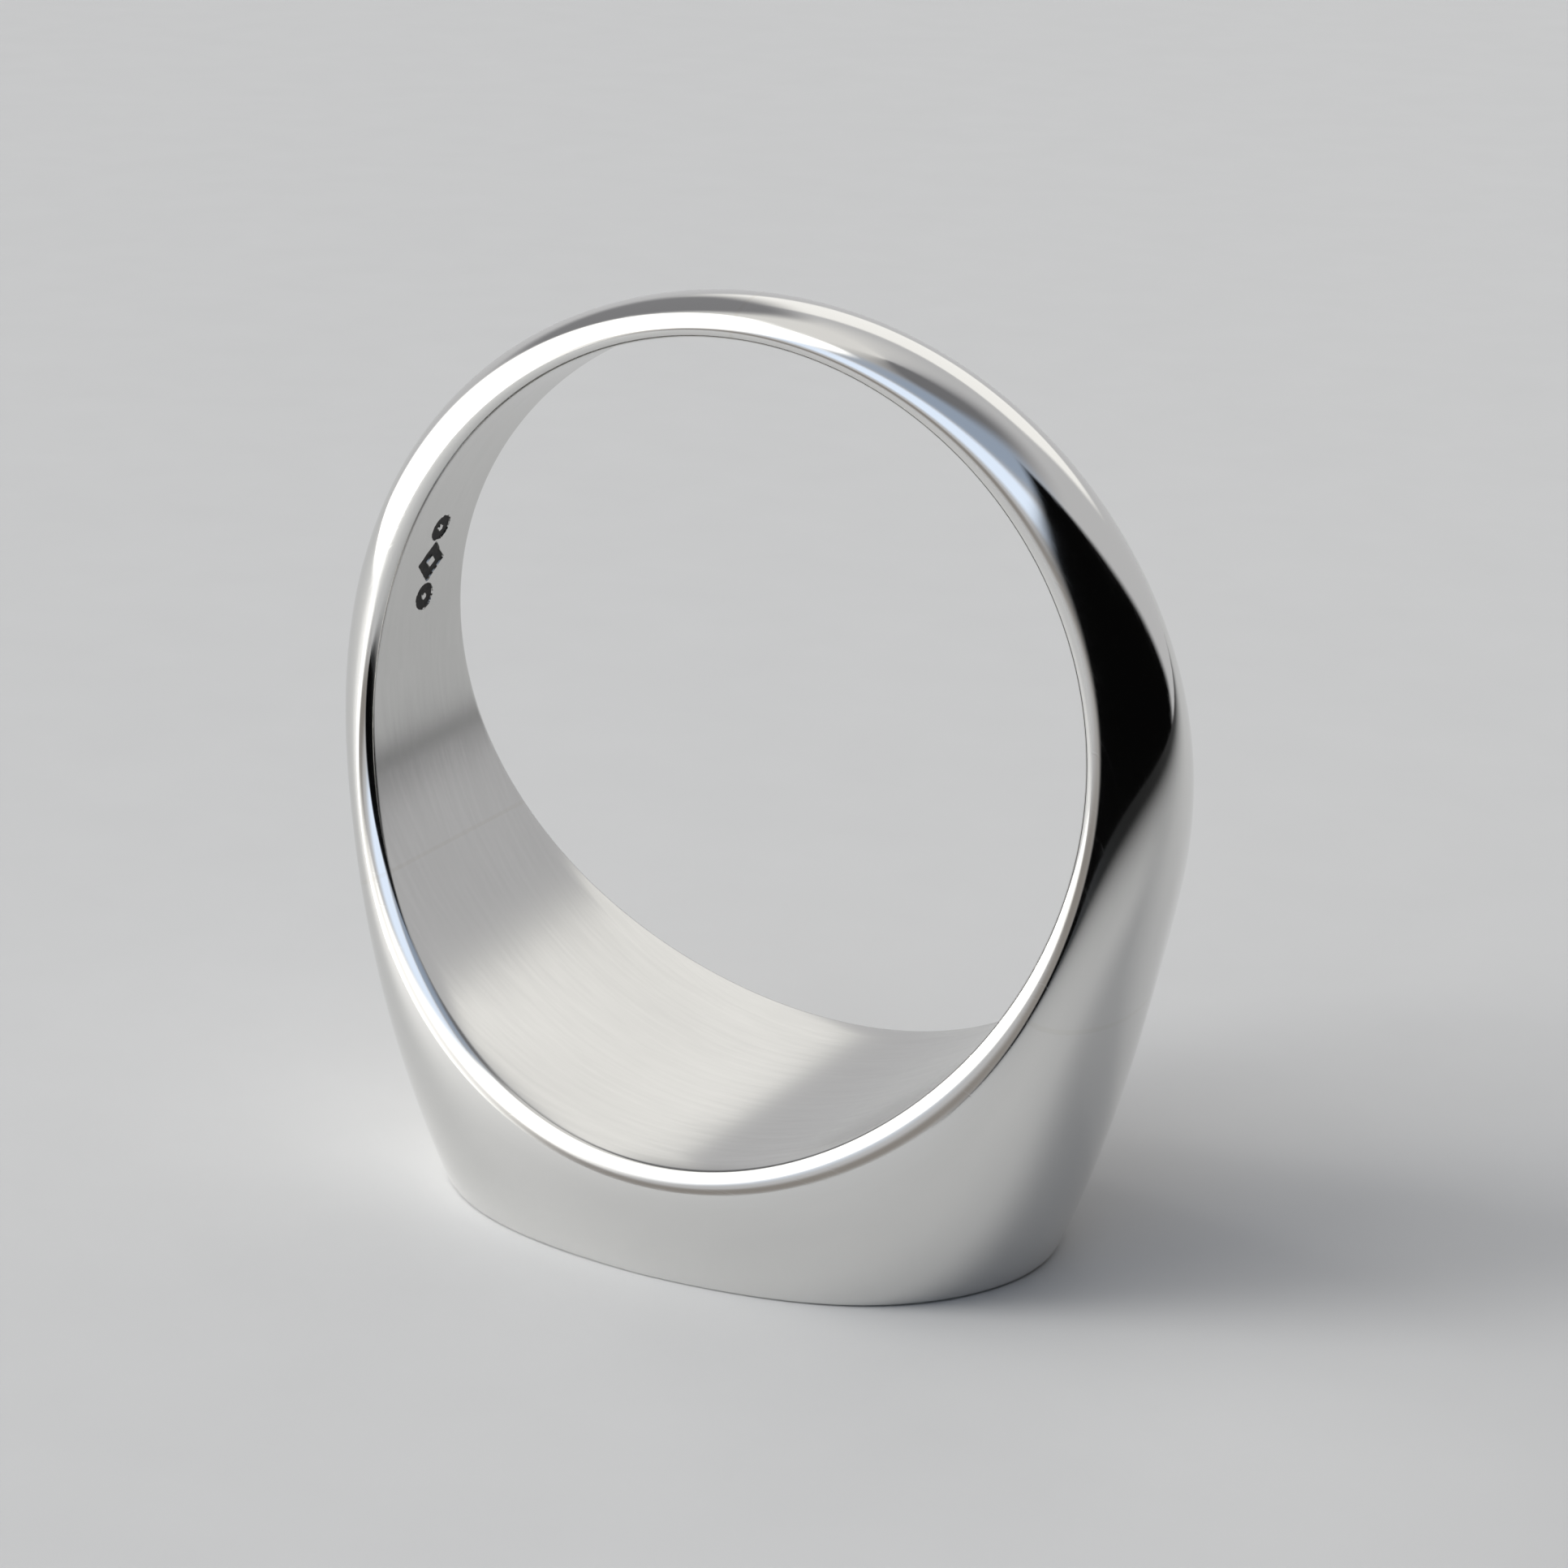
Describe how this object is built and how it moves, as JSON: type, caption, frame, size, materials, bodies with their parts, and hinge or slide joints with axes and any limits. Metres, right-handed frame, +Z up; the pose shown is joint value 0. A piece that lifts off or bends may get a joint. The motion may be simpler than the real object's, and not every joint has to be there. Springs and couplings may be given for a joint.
{
  "type": "signet ring",
  "caption": "Polished silver signet ring: a solid-backed head with a flat oval table, swelling shoulders and a tapering D-section shank, standing on its table.",
  "frame": {"origin": "centre of the finger hole, on its axis, half way along its wall", "axes": "+Z up with the ring standing on its table, +Y along the finger hole, +X to the right across the head"},
  "size_m": [0.0222, 0.0108, 0.0226],
  "materials": {
    "polished_silver": "mirror-polished silver, satin inside the finger hole",
    "silver_solder": "polished hard silver solder, a little duller than the silver",
    "black_oxide": "matt black silver oxide"
  },
  "bodies": {
    "root": {"signet_head": "polished_silver", "left_shank": "polished_silver", "right_shank": "polished_silver", "left_shoulder_solder": "silver_solder", "right_shoulder_solder": "silver_solder", "back_solder_seam": "silver_solder", "hallmark_patina": "black_oxide"}
  },
  "joints": []
}
